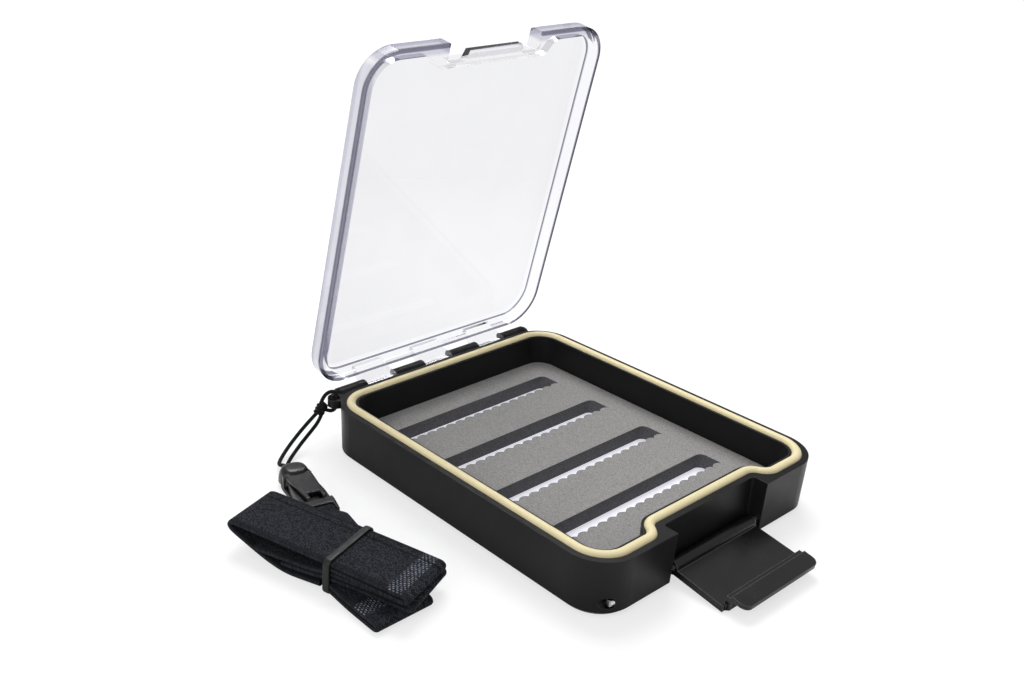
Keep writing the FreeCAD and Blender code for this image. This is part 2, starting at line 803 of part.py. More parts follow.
def make_socket():
    """Female half of the side-release buckle, open at both sides, with a bar for the cord.

    Its round head narrows to a bridge over the prongs, which is notched at the mouth. Drawn
    with its mouth at x = 0 and its cord end at negative x.
    """
    body = new_body("buckle_socket")
    half = s.buckle_width / 2
    end_half = s.socket_end_width / 2
    end = -s.socket_length
    shoulder = s.socket_head - s.socket_length
    outline = new_sketch(body, "socket_outline", "XY_Plane")
    nose = bulge_radius(s.socket_head, half - end_half)
    trace(outline, [(ZERO, half), (shoulder, half, nose, LEFT), (end, end_half),
                    (end, -end_half, nose, LEFT),
                    (shoulder, -half), (ZERO, -half)])
    block = pad(body, outline, s.buckle_height)
    dress_edges("Chamfer", body, "head_edge", block,
                lambda edge: lies_at_height(edge, s.buckle_height.value), s.head_chamfer)
    channel = new_sketch(body, "socket_channel", "XZ_Plane", half + s.overrun)
    roof = s.buckle_height - s.buckle_shell
    trace(channel, [(shoulder, s.buckle_shell), (s.overrun, s.buckle_shell), (s.overrun, roof),
                    (shoulder, roof)])
    pocket(body, channel, s.buckle_width + 2 * s.overrun)
    outside = half + s.overrun
    window = new_sketch(body, "socket_windows", "XY_Plane", s.buckle_height + s.overrun)
    for side in (1, -1):
        corners = [(shoulder, s.bridge_root / 2), (s.overrun, s.bridge_width / 2), (s.overrun, outside),
                   (shoulder, outside)]
        trace(window, [(x, side * y) for x, y in corners][::side])
    pocket(body, window, s.buckle_shell + 2 * s.overrun)
    notch = new_sketch(body, "bridge_notch", "XY_Plane", s.buckle_height + s.overrun)
    notch_half = s.bridge_notch_width / 2
    trace(notch, [(-s.bridge_notch, -notch_half), (s.overrun, -notch_half), (s.overrun, notch_half),
                  (-s.bridge_notch, notch_half)])
    pocket(body, notch, s.buckle_shell + 2 * s.overrun)
    slot = new_sketch(body, "cord_slot", "XY_Plane", s.buckle_height + s.overrun)
    slot_start = end + s.socket_bar
    slot_half = end_half - s.socket_cheek
    trace(slot, [(slot_start, -slot_half), (slot_start + s.socket_slot, -slot_half),
                 (slot_start + s.socket_slot, slot_half), (slot_start, slot_half)])
    pocket(body, slot, s.buckle_height + 2 * s.overrun)
    relief = new_sketch(body, "bar_relief", "XZ_Plane", slot_half)
    low = s.buckle_height / 2 - s.socket_bar / 2
    high = s.buckle_height / 2 + s.socket_bar / 2
    trace(relief, [(end - s.overrun, high), (slot_start + s.socket_slot, high),
                   (slot_start + s.socket_slot, s.buckle_height + s.overrun),
                   (end - s.overrun, s.buckle_height + s.overrun)])
    trace(relief, [(end - s.overrun, -s.overrun), (slot_start + s.socket_slot, -s.overrun),
                   (slot_start + s.socket_slot, low), (end - s.overrun, low)])
    pocket(body, relief, 2 * slot_half)
    set_in_plan(body, BUCKLE_MOUTH, BUCKLE_HEADING)
    return body


def make_plug():
    """Male half of the buckle: flange, two bowed prongs, a guide tongue and a strap bar."""
    body = new_body("buckle_plug")
    half = s.buckle_width / 2
    low = s.buckle_shell + s.buckle_clearance
    thick = s.buckle_height - 2 * low
    gap = s.buckle_clearance
    prong_out = half - s.barb_reach
    prong_in = prong_out - s.prong_width
    frame = new_sketch(body, "plug_frame", "XY_Plane", s.buckle_shell / 2)
    slot_start = gap + s.plug_flange
    tail = gap + s.plug_length
    tail_half = half - s.plug_bar / 2
    trace(frame, [(gap, -half), (slot_start, -half), (tail, -tail_half), (tail, tail_half),
                  (slot_start, half),
                  (gap, half)])
    pad(body, frame, s.buckle_height - s.buckle_shell)
    slot = new_sketch(body, "strap_slot", "XY_Plane", s.buckle_height)
    slot_half = s.loop_width / 2 + gap
    trace(slot, [(tail - s.plug_bar - s.plug_slot, -slot_half), (tail - s.plug_bar, -slot_half),
                 (tail - s.plug_bar, slot_half), (tail - s.plug_bar - s.plug_slot, slot_half)])
    pocket(body, slot, s.buckle_height)
    relief = new_sketch(body, "plug_bar_relief", "XZ_Plane", slot_half)
    inner = tail - s.plug_bar - gap
    outer = tail + s.overrun
    low_face = s.buckle_height / 2 - s.plug_bar / 2
    high_face = s.buckle_height / 2 + s.plug_bar / 2
    trace(relief, [(inner, ZERO), (outer, ZERO), (outer, low_face), (inner, low_face)])
    trace(relief, [(inner, high_face), (outer, high_face), (outer, s.buckle_height),
                   (inner, s.buckle_height)])
    pocket(body, relief, 2 * slot_half)
    prongs = new_sketch(body, "plug_prongs", "XY_Plane", low)
    start = gap + s.plug_flange
    bow = bulge_radius((start + s.prong_length) / 2, s.barb_reach)
    for side in (1, -1):
        if side == 1:
            corners = [(start, prong_in), (start, prong_out, bow, LEFT), (-s.prong_length, prong_out),
                       (-s.prong_length, prong_in, bow, -LEFT)]
        else:
            corners = [(start, -prong_out), (start, -prong_in, bow, -LEFT), (-s.prong_length, -prong_in),
                       (-s.prong_length, -prong_out, bow, LEFT)]
        trace(prongs, corners)
    tongue = s.tongue_width / 2
    trace(prongs, [(-s.tongue_length, -tongue), (start, -tongue), (start, tongue),
                   (-s.tongue_length, tongue)])
    pad(body, prongs, thick)
    set_in_plan(body, BUCKLE_MOUTH, BUCKLE_HEADING)
    return body


def ribbon(points, radii, width, thickness):
    """Webbing along a path in the XZ plane, centred on y = 0."""
    places = [FreeCAD.Vector(x.value, 0, z.value) for x, z in points]
    path = bent_path(places, [radius.value for radius in radii])
    along = (places[1] - places[0]).normalize()
    up = FreeCAD.Vector(-along.z, 0, along.x) * (thickness.value / 2)
    side = FreeCAD.Vector(0, width.value / 2, 0)
    corners = [places[0] + up + side, places[0] + up - side, places[0] - up - side, places[0] - up + side]
    profile = Part.makePolygon(corners + corners[:1])
    return sweep(path, profile, width.value * thickness.value)


def tied_height(number):
    """Height of a strap layer's middle under the tie, counted from the lowest layer."""
    return s.tie_thickness + s.tie_gap + s.strap_thickness / 2 + (s.strap_thickness + s.layer_fit) * number


def fold_height(number):
    """Height of the lower layer of a fold at the bundle's right end, counted from the floor."""
    step = s.fold_spacing + s.strap_thickness + s.layer_fit
    return s.strap_thickness / 2 + s.strap_rest + step * number


def lay_strap(name, shape, distance, swing):
    """Add a strap piece that starts at the distance along the bundle, turned by the swing."""
    along = FreeCAD.Rotation(FreeCAD.Vector(0, 0, 1), BUNDLE_HEADING)
    start = FreeCAD.Vector(*BUNDLE_END) + along.multVec(FreeCAD.Vector(distance.value, 0, 0))
    turn = FreeCAD.Rotation(FreeCAD.Vector(0, 0, 1), BUNDLE_HEADING + swing)
    return add_feature(name, shape, FreeCAD.Placement(start, turn))


def make_strap():
    """Neck strap of flat webbing under the tie: the outer turn of the folded bundle.

    It leaves the tie along the floor, rises to the crease at the left end, runs back as the
    top layer and turns down at the right end.
    """
    wide = s.strap_width
    fold = s.fold_spacing / 2
    tight = (s.crease_height - s.strap_rest) / 2 * (1 + CREASE_SHARE)
    top = tied_height(5)
    low = fold_height(2)
    end = s.bundle_length
    tie = s.tie_distance
    points = [(tie - s.tie_margin, tied_height(0)), (s.floor_reach, fold_height(0)),
              (s.lift_reach, s.lift_height),
              (s.crease_reach, top - s.crease_height), (s.crease_reach, top), (tie, top),
              (end, low + s.fold_spacing), (end, low), (tie + s.tied_length, tied_height(4)),
              (tie - s.tie_width / 2, tied_height(4))]
    radii = [wide, wide, tight, tight, wide, fold - s.layer_fit, fold - s.layer_fit, wide]
    return lay_strap("lanyard_strap", ribbon(points, radii, wide, s.strap_thickness), ZERO, 0)


def make_strap_fold():
    """Second fold of the strap, just under the outer turn and swung out a little behind it."""
    wide = s.strap_width
    fold = s.fold_spacing / 2 - s.layer_fit
    low = fold_height(1)
    high = low + s.fold_spacing
    step = s.tied_length
    level = s.tie_width
    drop = (s.strap_thickness + s.layer_fit) / 2
    upper = tied_height(3)
    lower = tied_height(2)
    points = [(-s.fold_start, upper - drop), (-step - level, upper - drop), (-level, upper), (step, upper),
              (s.fold_length, high), (s.fold_length, low), (step, lower), (-level, lower),
              (-step - level, lower - drop), (-s.fold_tuck, lower - drop)]
    radii = [wide / 2, wide / 2, wide, fold, fold, wide, wide / 2, wide / 2]
    shape = ribbon(points, radii, wide, s.strap_thickness)
    return lay_strap("lanyard_strap_fold", shape, s.tie_distance, FOLD_SWING)


def make_strap_tail():
    """Lowest fold of the strap, which fans out under the bundle on the near side."""
    wide = s.strap_width
    fold = s.fold_spacing / 2 - s.layer_fit
    low = fold_height(0)
    high = low + s.fold_spacing
    slope = s.tied_length + s.tied_slope
    level = s.tied_length / 2
    points = [(s.tail_start, tied_height(1)), (level, tied_height(1)), (slope, high), (s.tail_length, high),
              (s.tail_length, low), (slope, low), (level, tied_height(0)), (s.tail_start, tied_height(0))]
    radii = [wide, wide, fold, fold, wide, wide]
    shape = ribbon(points, radii, wide, s.strap_thickness)
    return lay_strap("lanyard_strap_tail", shape, s.tie_distance, TAIL_SWING)


def make_tie():
    """Flat rubber band round the bundle."""
    body = new_body("strap_tie")
    thick = s.tie_thickness
    half = s.strap_width / 2 + s.tie_slack
    top = tied_height(5) + s.strap_thickness / 2 + s.tie_gap
    bottom = s.tie_thickness
    corner = s.tie_thickness
    band = new_sketch(body, "tie_band", "YZ_Plane", s.tie_distance - s.tie_width / 2)
    for grow in (thick, ZERO):
        radius = corner + grow
        trace(band, [(-half - grow + radius, bottom - grow),
                     (half + grow - radius, bottom - grow, radius, LEFT),
                     (half + grow, bottom - grow + radius),
                     (half + grow, top + grow - radius, radius, LEFT),
                     (half + grow - radius, top + grow), (radius - half - grow, top + grow, radius, LEFT),
                     (-half - grow, top + grow - radius),
                     (-half - grow, bottom - grow + radius, radius, LEFT)])
    pad(body, band, s.tie_width)
    set_in_plan(body, BUNDLE_END, BUNDLE_HEADING)
    return body


def make_strap_loop():
    """Narrow end of the strap: an eye round the plug's bar that runs in under the top layer."""
    thick = s.loop_thickness
    tail = s.buckle_clearance + s.plug_length
    lift = s.plug_bar / 2 + thick / 2 + s.buckle_clearance
    bar_z = s.buckle_height / 2
    under_top = tied_height(5) - s.strap_thickness / 2 - s.loop_drop - thick / 2
    behind = tail - s.plug_bar - s.plug_slot / 2
    points = [(tail + s.loop_reach, under_top), (tail + s.loop_level, under_top),
              (tail + s.plug_slot / 2, bar_z + lift), (behind, bar_z + lift), (behind, bar_z - lift),
              (tail + s.plug_bar / 2, bar_z - lift), (tail + s.loop_tail, bar_z)]
    tight = lift - s.buckle_clearance
    radii = [s.plug_length / 2, s.plug_length / 2, tight, tight, tight]
    shape = ribbon(points, radii, s.loop_width, thick)
    heading = FreeCAD.Rotation(FreeCAD.Vector(0, 0, 1), BUCKLE_HEADING)
    return add_feature("lanyard_strap_loop", shape,
                       FreeCAD.Placement(FreeCAD.Vector(*BUCKLE_MOUTH), heading))


tray = make_tray()
gasket = make_gasket()
foam = make_foam()
base_sheet = make_base_sheet()
lid = make_lid()
latch = make_latch()
hinge_pin = make_pin("hinge_pin", s.pin_end_cover + s.knuckle_clearance - knuckle_outer_end,
                     knuckle_outer_end - s.knuckle_clearance, hinge_y, hinge_z)
latch_pin = make_pin("latch_pin", -latch_pin_start - s.latch_pin_show,
                     s.latch_pin_end - s.knuckle_clearance, latch_y,
                     s.latch_height)
eye_cord = make_cord("cord_eye_loop", EYE_ROUTE)
buckle_cord = make_cord("cord_buckle_loop", BUCKLE_ROUTE)
knot = make_knot()
socket = make_socket()
plug = make_plug()
strap = make_strap()
strap_fold = make_strap_fold()
strap_tail = make_strap_tail()
strap_loop = make_strap_loop()
tie = make_tie()
doc.recompute()

pieces = [tray, gasket, foam, base_sheet, lid, latch, hinge_pin, latch_pin, eye_cord, buckle_cord, knot,
          socket,
          plug, strap, strap_fold, strap_tail, strap_loop, tie]
for item in doc.Objects:
    if "Invalid" in item.State or "Error" in item.State:
        raise RuntimeError(f"{item.Name} failed: {item.State}")
os.makedirs("parts", exist_ok=True)
for piece in pieces:
    shape = piece.Shape
    if shape.isNull() or not shape.isValid():
        raise RuntimeError(f"{piece.Label} has no valid shape")
    shape.exportStep(f"parts/{piece.Label}.step")
    box = shape.BoundBox
    print(piece.Label, "solids", len(shape.Solids), "volume", round(shape.Volume, 1),
          "x", round(box.XMin, 2), round(box.XMax, 2), "y", round(box.YMin, 2), round(box.YMax, 2),
          "z", round(box.ZMin, 2), round(box.ZMax, 2))
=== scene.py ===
"""A slim fly box with a clear lid, opened on a white table, and its folded neck strap beside it."""

import json
import math

import bmesh
import bpy
import numpy as np
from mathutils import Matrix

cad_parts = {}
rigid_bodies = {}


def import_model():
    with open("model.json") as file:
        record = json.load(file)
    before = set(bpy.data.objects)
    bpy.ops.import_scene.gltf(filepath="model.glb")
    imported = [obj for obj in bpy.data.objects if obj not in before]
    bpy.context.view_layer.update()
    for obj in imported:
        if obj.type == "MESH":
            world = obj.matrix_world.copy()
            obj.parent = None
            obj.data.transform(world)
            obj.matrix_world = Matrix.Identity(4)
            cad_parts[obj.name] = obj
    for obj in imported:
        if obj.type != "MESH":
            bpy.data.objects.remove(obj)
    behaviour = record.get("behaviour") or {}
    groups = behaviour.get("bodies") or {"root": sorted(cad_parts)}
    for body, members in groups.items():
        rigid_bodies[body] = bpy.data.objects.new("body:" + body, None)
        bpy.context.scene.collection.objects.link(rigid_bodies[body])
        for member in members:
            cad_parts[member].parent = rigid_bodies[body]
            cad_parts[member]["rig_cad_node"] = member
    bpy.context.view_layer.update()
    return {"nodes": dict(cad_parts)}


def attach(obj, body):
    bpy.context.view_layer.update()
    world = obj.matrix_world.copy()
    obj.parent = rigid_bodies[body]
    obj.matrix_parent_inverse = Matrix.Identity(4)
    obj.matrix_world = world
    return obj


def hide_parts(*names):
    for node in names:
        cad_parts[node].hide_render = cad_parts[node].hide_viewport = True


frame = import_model()
MM = 0.001

# The camera stands before the case's left front corner and looks down on it. Its place, turn
# and shift bring the case's edges to where the photograph has them.
azimuth, elevation, roll = np.radians((-39.168, 19.525, 1.412))
ahead = np.array((
    -math.sin(azimuth) * math.cos(elevation),
    math.cos(azimuth) * math.cos(elevation),
    -math.sin(elevation),
))
level = np.array((math.cos(azimuth), math.sin(azimuth), 0))
upright = np.cross(level, ahead)
eye = bpy.data.objects.new("camera", bpy.data.cameras.new("camera"))
eye.data.lens = 40.66
eye.data.shift_x = 0.14
eye.data.shift_y = -0.1
eye.data.clip_start = 0.01
turned = np.eye(4)
turned[:3, 0] = math.cos(roll) * level + math.sin(roll) * upright
turned[:3, 1] = math.cos(roll) * upright - math.sin(roll) * level
turned[:3, 2] = -ahead
turned[:3, 3] = np.array((-259.95, -215.889, 197.34)) * MM
eye.matrix_world = turned.T.tolist()
bpy.context.scene.collection.objects.link(eye)
bpy.context.scene.camera = eye
bpy.context.scene.view_settings.view_transform = "Standard"


class Wire:
    """A value in a node tree. Each sum, product, quotient or comparison on it adds a Math node.

    The number may stand on either side, so 1 - mask works too.
    """

    def __init__(self, tree, node, output=0):
        self.tree = tree
        self.node = node
        self.socket = node.outputs[output]

    def out(self, name):
        """Another output of the same node."""
        return Wire(self.tree, self.node, name)

    def combine(self, operation, *values):
        """The operation on numbers and wires in the order given."""
        return add_node(self.tree, "Math", {"operation": operation}, dict(enumerate(values)))

    def math(self, operation, *others):
        """The operation on this wire first and then the others."""
        return self.combine(operation, self, *others)

    def __add__(self, other):
        return self.math("ADD", other)

    def __mul__(self, other):
        return self.math("MULTIPLY", other)

    def __sub__(self, other):
        return self.math("SUBTRACT", other)

    def __rsub__(self, other):
        return self.combine("SUBTRACT", other, self)

    def __truediv__(self, other):
        return self.math("DIVIDE", other)

    def __rtruediv__(self, other):
        return self.combine("DIVIDE", other, self)

    def __gt__(self, other):
        return self.math("GREATER_THAN", other)

    def __lt__(self, other):
        return self.math("LESS_THAN", other)

    __radd__ = __add__
    __rmul__ = __mul__


def add_node(tree, kind, settings=None, values=None):
    """A node of the kind with its settings, and its sockets set to numbers or linked to wires."""
    node = tree.nodes.new("ShaderNode" + kind)
    for name, value in (settings or {}).items():
        setattr(node, name, value)
    for name, value in (values or {}).items():
        if isinstance(value, Wire):
            tree.links.new(value.socket, node.inputs[name])
        else:
            node.inputs[name].default_value = value
    return Wire(tree, node)


class Finish:
    """A material on the Principled shader, its plain sockets set by name."""

    def __init__(self, name, **plain):
        self.material = bpy.data.materials.new(name)
        self.material.use_nodes = True
        self.tree = self.material.node_tree
        self.shader = self.tree.nodes["Principled BSDF"]
        for socket, value in plain.items():
            self.shader.inputs[socket.replace("_", " ")].default_value = value
        self.place = self.add("TexCoord").out("Object")

    def add(self, kind, settings=None, values=None):
        """A node in the material's own tree."""
        return add_node(self.tree, kind, settings, values)

    def noise(self, size, detail):
        """Cloudy values from 0 to 1 whose patches are about size metres wide."""
        values = {"Vector": self.place, "Scale": 1 / size, "Detail": detail}
        return self.add("TexNoise", None, values)

    def normal(self):
        """The surface's own outward direction, without any bump."""
        return self.add("NewGeometry").out("Normal")

    def split(self, vector):
        """The node whose outputs are the vector's X, Y and Z."""
        return self.add("SeparateXYZ", None, {0: vector})

    def mix(self, share, first, second):
        """The first colour where share is 0 and the second where it is 1."""
        return self.add("Mix", {"data_type": "RGBA"}, {0: share, 6: first, 7: second}).out(2)

    def spread(self, value, low, high, first, last):
        """The value from low to high carried to first to last, and held beyond them."""
        values = {"Value": value, 1: low, 2: high, 3: first, 4: last}
        return self.add("MapRange", {"clamp": True}, values)

    def feed(self, **wires):
        """Link each wire to the shader's socket of that name."""
        for socket, wire in wires.items():
            self.tree.links.new(wire.socket, self.shader.inputs[socket.replace("_", " ")])

    def bump(self, height, depth, strength=1.0, normal=None):
        """Bump of the height's wire, whose full value stands for depth metres."""
        values = {"Height": height, "Distance": depth, "Strength": strength}
        if normal is not None:
            values["Normal"] = normal
        self.feed(Normal=self.add("Bump", None, values))


def colour(red, green, blue):
    """The colour, fully opaque."""
    return (red, green, blue, 1.0)


def straight_rays(tree):
    """1 for rays from the camera or through clear plastic, and 0 for all others."""
    rays = add_node(tree, "LightPath")
    return rays.out("Is Camera Ray").math("MAXIMUM", rays.out("Is Transmission Ray"))


# The table and the wall behind it are one white ground. Seen straight or through the
# lid it glows white, and as a surface it takes the soft shadows of the case and the strap,
# which fade out between 0.14 m and 0.34 m from the middle.
ground = Finish("white_ground", Base_Color=colour(0.9, 0.9, 0.9), Roughness=0.8,
                Specular_IOR_Level=0.1)
seen = straight_rays(ground.tree)
glow = ground.add("Emission", None, {"Color": colour(1, 1, 1), "Strength": 1.08})
away = ground.add("VectorMath", {"operation": "LENGTH"}, {0: ground.place}).out("Value")
lit = ground.add("MixShader", None, {0: seen * ground.spread(away, 0.14, 0.34, 0.62, 1)})
ground.tree.links.new(ground.shader.outputs[0], lit.node.inputs[1])
ground.tree.links.new(glow.socket, lit.node.inputs[2])
ground.tree.links.new(lit.socket, ground.tree.nodes["Material Output"].inputs[0])
table = bpy.data.meshes.new("ground")
table.from_pydata([(-3, -3, 0), (3, -3, 0), (3, 3, 0), (-3, 3, 0)], [], [(0, 1, 2, 3)])
table.materials.append(ground.material)
table = bpy.data.objects.new("ground", table)
table.location.z = -0.05 * MM
bpy.context.scene.collection.objects.link(table)

# The surroundings are white too, and dimmer as a light than they look. A large soft lamp hangs
# behind the case, and a smaller one stands on its left.
world = bpy.data.worlds.new("studio")
world.use_nodes = True
bpy.context.scene.world = world
sky = world.node_tree
sky.links.new((0.55 + 0.45 * straight_rays(sky)).socket, sky.nodes["Background"].inputs["Strength"])
sky.nodes["Background"].inputs["Color"].default_value = colour(1, 1, 1)


def add_lamp(name, place, aim, size, power):
    """A square soft lamp at place, turned to aim."""
    lamp = bpy.data.objects.new(name, bpy.data.lights.new(name, "AREA"))
    lamp.data.size = size
    lamp.data.energy = power
    toward = np.array(aim, float) - place
    toward /= np.linalg.norm(toward)
    side = np.cross(toward, (0, 0, 1))
    side /= np.linalg.norm(side)
    turned = np.eye(4)
    turned[:3, :3] = np.stack((side, np.cross(side, toward), -toward), 1)
    turned[:3, 3] = place
    lamp.matrix_world = turned.T.tolist()
    bpy.context.scene.collection.objects.link(lamp)


add_lamp("lamp_above", (0.25, 0.35, 0.75), (-0.02, 0, 0), 0.5, 6.5)
add_lamp("lamp_left", (-0.7, -0.1, 0.4), (0, 0, 0.02), 0.35, 1.5)


def surface(name, grid, wrap_rows=False, wrap_columns=False, capped=False, across=None):
    """Mesh over a grid of points, rows by columns, each cell one face.

    What wraps closes on itself, and caps close the first and the last row. The UV map holds
    metres: u is the distance from row to row, and v the distance along a row or the given
    across values, one for each column.
    """
    rows, columns = grid.shape[:2]
    i = np.arange(rows - (not wrap_rows))[:, None]
    j = np.arange(columns - (not wrap_columns))[None, :]
    below, beside = (i + 1) % rows, (j + 1) % columns
    corners = (i * columns + j, below * columns + j, below * columns + beside, i * columns + beside)
    faces = np.stack(corners, -1).reshape(-1, 4)
    steps = np.linalg.norm(np.diff(grid, axis=0, append=grid[:1]), axis=2).mean(1)
    u = np.concatenate(([0], np.cumsum(steps)))
    steps = np.linalg.norm(np.diff(grid, axis=1, append=grid[:, :1]), axis=2).mean(0)
    v = np.concatenate(([0], np.cumsum(steps))) if across is None else np.append(across, across[0])
    corner_u = np.stack((i + 0 * j, i + 1 + 0 * j, i + 1 + 0 * j, i + 0 * j), -1)
    corner_v = np.stack((j + 0 * i, j + 0 * i, j + 1 + 0 * i, j + 1 + 0 * i), -1)
    uv = np.stack((u[corner_u], v[corner_v]), -1).reshape(-1, 2)
    polygons = faces.tolist()
    if capped:
        polygons.append(list(range(columns))[::-1])
        polygons.append(list(range((rows - 1) * columns, rows * columns)))
        uv = np.concatenate((uv, np.zeros((2 * columns, 2))))
    mesh = bpy.data.meshes.new(name)
    mesh.from_pydata(grid.reshape(-1, 3), [], polygons)
    mesh.uv_layers.new(name="UVMap").data.foreach_set("uv", uv.astype(np.float32).ravel())
    return finish_mesh(name, mesh)


def finish_mesh(name, mesh):
    """Link the piece, its faces turned outward and smooth but for edges over 40 degrees."""
    shell = bmesh.new()
    shell.from_mesh(mesh)
    bmesh.ops.recalc_face_normals(shell, faces=shell.faces)
    shell.to_mesh(mesh)
    shell.free()
    mesh.shade_smooth()
    mesh.set_sharp_from_angle(angle=math.radians(40))
    piece = bpy.data.objects.new(name, mesh)
    bpy.context.scene.collection.objects.link(piece)
    return piece


def dress(piece, finish, body):
    """Give a piece its material, and its body unless it is a CAD node."""
    piece.data.materials.clear()
    piece.data.materials.append(finish.material)
    if "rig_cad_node" not in piece:
        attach(piece, body)
    return piece


# The lanyard's cord is a thin braided line. One loop goes through the lug's eye and the other
# round the bar of the buckle, and an overhand knot ties both.
EYE_ROUTE = [
    (-52.0, 62.9, 14.6), (-50.6, 63.4, 16.9), (-48.7, 62.3, 18.9), (-47.6, 60.3, 19.3),
    (-47.9, 59.4, 17.3), (-47.9, 59.3, 15.0), (-48.6, 59.4, 13.3), (-50.3, 60.1, 12.9),
    (-51.5, 61.6, 13.6),
]
BUCKLE_ROUTE = [
    (-52.9, 62.9, 12.4), (-56.0, 63.8, 9.3), (-59.4, 64.6, 5.8), (-64.1, 63.7, 2.9),
    (-68.1, 61.7, 1.5), (-71.1, 59.4, 1.2), (-73.3, 56.4, 2.2), (-73.85, 52.7, 3.9),
    (-74.2, 48.6, 5.5), (-74.25, 46.95, 3.2), (-73.95, 47.3, 1.2), (-73.3, 49.75, 0.85),
    (-72.55, 52.25, 0.9), (-71.2, 54.9, 0.95), (-69.2, 57.4, 0.9), (-65.4, 59.9, 1.4),
    (-60.7, 61.9, 3.2), (-56.0, 62.4, 6.3), (-53.6, 61.4, 9.7), (-52.3, 61.5, 12.3),
]
CORD_RADIUS = 0.65 * MM
KNOT_CENTRE = np.array((-52.4, 62.3, 13.3)) * MM
KNOT_RADIUS, KNOT_PITCH, KNOT_TURNS = 1.25 * MM, 1.2 * MM, 3
KNOT_HEADING = np.array((-0.45, 0.1, -0.89))


def spline_points(route):
    """Points in order along the smooth NURBS line whose control points are the route's."""
    curve = bpy.data.curves.new("route", "CURVE")
    curve.dimensions = "3D"
    spline = curve.splines.new("NURBS")
    spline.points.add(len(route) - 1)
    places = np.column_stack((np.array(route, float) * MM, np.ones(len(route))))
    spline.points.foreach_set("co", places.ravel())
    spline.order_u = 3
    spline.use_endpoint_u = True
    spline.resolution_u = 8
    line = bpy.data.objects.new("route", curve)
    bpy.context.scene.collection.objects.link(line)
    bpy.context.view_layer.update()
    evaluated = line.evaluated_get(bpy.context.evaluated_depsgraph_get())
    mesh = bpy.data.meshes.new_from_object(evaluated)
    points = np.empty(len(mesh.vertices) * 3)
    mesh.vertices.foreach_get("co", points)
    bpy.data.objects.remove(line)
    bpy.data.curves.remove(curve)
    bpy.data.meshes.remove(mesh)
    return points.reshape(-1, 3)


def unit(vectors):
    """The vectors, each divided by its own length."""
    return vectors / np.linalg.norm(vectors, axis=-1, keepdims=True)


def tube(name, path, radius, sides=12):
    """Round tube: at each point of the path a circle square to the way on.

    The circle's own axes come from the direction that the path turns least toward.
    """
    way = unit(np.gradient(path, axis=0))
    fixed = np.linalg.svd(way)[2][-1]
    side = unit(np.cross(way, fixed))
    lift = np.cross(side, way)
    turn = np.linspace(0, 2 * np.pi, sides, endpoint=False)
    ring = np.cos(turn)[:, None] * side[:, None] + np.sin(turn)[:, None] * lift[:, None]
    return surface(name, path[:, None] + radius * ring, wrap_columns=True, capped=True)


STRAND = 0.6 * MM
braid = Finish("braided_cord", Roughness=0.8, Specular_IOR_Level=0.12)
uv = braid.split(braid.add("UVMap"))
lean = uv.out("Y") * 0.8
twist = ((uv.out("X") + lean) * (2 * math.pi / STRAND)).math("SINE")
counter = ((uv.out("X") - lean) * (2 * math.pi / STRAND)).math("SINE")
weave = twist.math("MAXIMUM", counter) * 0.5 + 0.5
braid.feed(Base_Color=braid.mix(weave, colour(0.004, 0.004, 0.004), colour(0.014, 0.014, 0.015)))
braid.bump(weave, 0.12 * MM)

eye_loop = tube("eye_loop", spline_points(EYE_ROUTE), CORD_RADIUS)
buckle_path = spline_points(BUCKLE_ROUTE)
buckle_loop = tube("buckle_loop", buckle_path, CORD_RADIUS)
knot_axis = unit(KNOT_HEADING)
knot_side = unit(np.cross(knot_axis, (0, 1, 0)))
knot_depth = np.cross(knot_axis, knot_side)
turns = np.linspace(0, KNOT_TURNS, 90)
swing = 2 * np.pi * turns
circle = np.cos(swing)[:, None] * knot_side + np.sin(swing)[:, None] * knot_depth
coil = KNOT_CENTRE + KNOT_RADIUS * circle
coil = coil + ((turns - KNOT_TURNS / 2) * KNOT_PITCH)[:, None] * knot_axis
stub = coil[:1] + np.linspace(1, 0.1, 6)[:, None] * np.array((-1.6, -0.6, 1.6)) * MM
knot = tube("knot", np.concatenate((stub, coil)), CORD_RADIUS)
for piece, node in (
    (eye_loop, "cord_eye_loop"), (buckle_loop, "cord_buckle_loop"), (knot, "cord_knot"),
):
    dress(piece, braid, "tray")
    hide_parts(node)


# The tray and the latch are black plastic with a fine satin grain, moulded with slightly
# rounded edges, along which a pale highlight is painted. The latch is the glossier of the two.
def moulded(name, shade, rough, shine, rounding, flat=1, edge_highlight_share=0.0):
    """Dark moulded plastic with a fine grain and an uneven gloss.

    Its rounded edges carry a painted highlight, paler by the edge highlight share. Its level tops
    have flat times the shade, a painted shade or light for how the light falls on them.
    """
    made = Finish(name, Specular_IOR_Level=shine)
    cloud = made.noise(9 * MM, 3)
    straight = made.normal()
    soft = made.add("Bevel", {"samples": 6}, {"Radius": rounding})
    # Level tops get painted shade or light: there the tone is the shade times flat.
    level = made.spread(made.split(straight).out("Z"), 0.7, 0.9, 0, 1)
    # Near a rounded edge the soft normal parts from the true one, and a pale painted highlight goes
    # there.
    likeness = made.add("VectorMath", {"operation": "DOT_PRODUCT"}, {0: straight, 1: soft})
    painted_edge_highlight = made.spread(likeness.out("Value"), 0.8, 0.98, edge_highlight_share, 0)
    shade = np.array(shade)
    tone = made.mix(cloud, colour(*(shade * 0.85)), colour(*(shade * 1.2)))
    tone = made.mix(level, tone, colour(*(shade * flat)))
    made.feed(
        Base_Color=made.mix(painted_edge_highlight, tone, colour(0.12, 0.12, 0.124)),
        Roughness=made.spread(cloud, 0.3, 0.7, rough - 0.05, rough + 0.06),
    )
    made.bump(made.noise(0.22 * MM, 1), 0.012 * MM, 0.5, soft)
    return made


